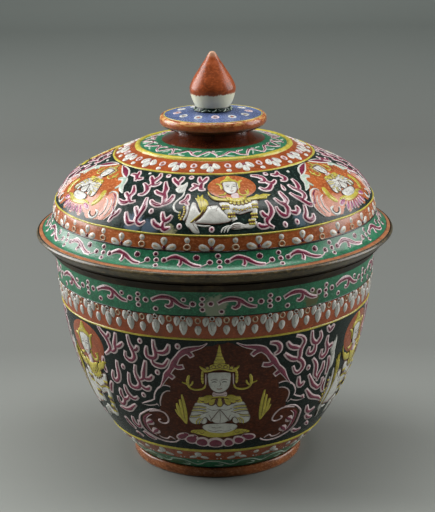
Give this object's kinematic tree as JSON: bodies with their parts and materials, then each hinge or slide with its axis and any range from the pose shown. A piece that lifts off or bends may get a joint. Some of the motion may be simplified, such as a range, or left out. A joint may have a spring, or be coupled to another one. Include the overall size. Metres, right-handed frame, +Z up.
{
  "type": "lidded jar",
  "caption": "Round enamelled porcelain jar on a foot ring, with a domed lift-off lid, metal-bound rims and a lotus-bud knop.",
  "frame": {"origin": "centre of the foot ring's underside, where the jar stands", "axes": "+Z up along the turning axis, towards the tip of the knop; -Y is the front, with a seated figure in its medallion on the jar"},
  "size_m": [0.18, 0.18, 0.2086],
  "materials": {
    "jar_enamel": "black-green overglaze enamel ground on glazed porcelain, with raised coloured enamel figures, glossy",
    "lid_enamel": "dark green overglaze enamel ground on glazed porcelain, with raised coloured enamel figures, glossy",
    "red_glaze": "iron-red enamel over white porcelain, glossy",
    "brown_glaze": "dark red-brown enamel over white porcelain, glossy",
    "blue_enamel": "periwinkle blue enamel on top, iron-red edge, glossy",
    "leaf_enamel": "dark green enamel leaves with white dashes, glossy",
    "white_glaze": "bare clear glaze over white porcelain, glossy",
    "rim_binding": "copper-gold metal binding, worn, dark on its underside",
    "mouth_binding": "dark brown tarnished metal binding, satin"
  },
  "bodies": {
    "jar": {"foot_ring": "red_glaze", "jar_body": "jar_enamel", "mouth_band": "mouth_binding"},
    "lid": {"lid_dome": "lid_enamel", "lid_seat_ring": "white_glaze", "lid_rim_band": "rim_binding", "knop_pedestal": "brown_glaze", "knop_saucer": "blue_enamel", "knop_collar": "leaf_enamel", "knop_cup": "white_glaze", "knop_bud": "red_glaze"}
  },
  "joints": [
    {"name": "lid_lift", "type": "slide", "parent": "jar", "child": "lid", "axis": [0, 0, 1], "range_m": [0, 0.08]}
  ]
}
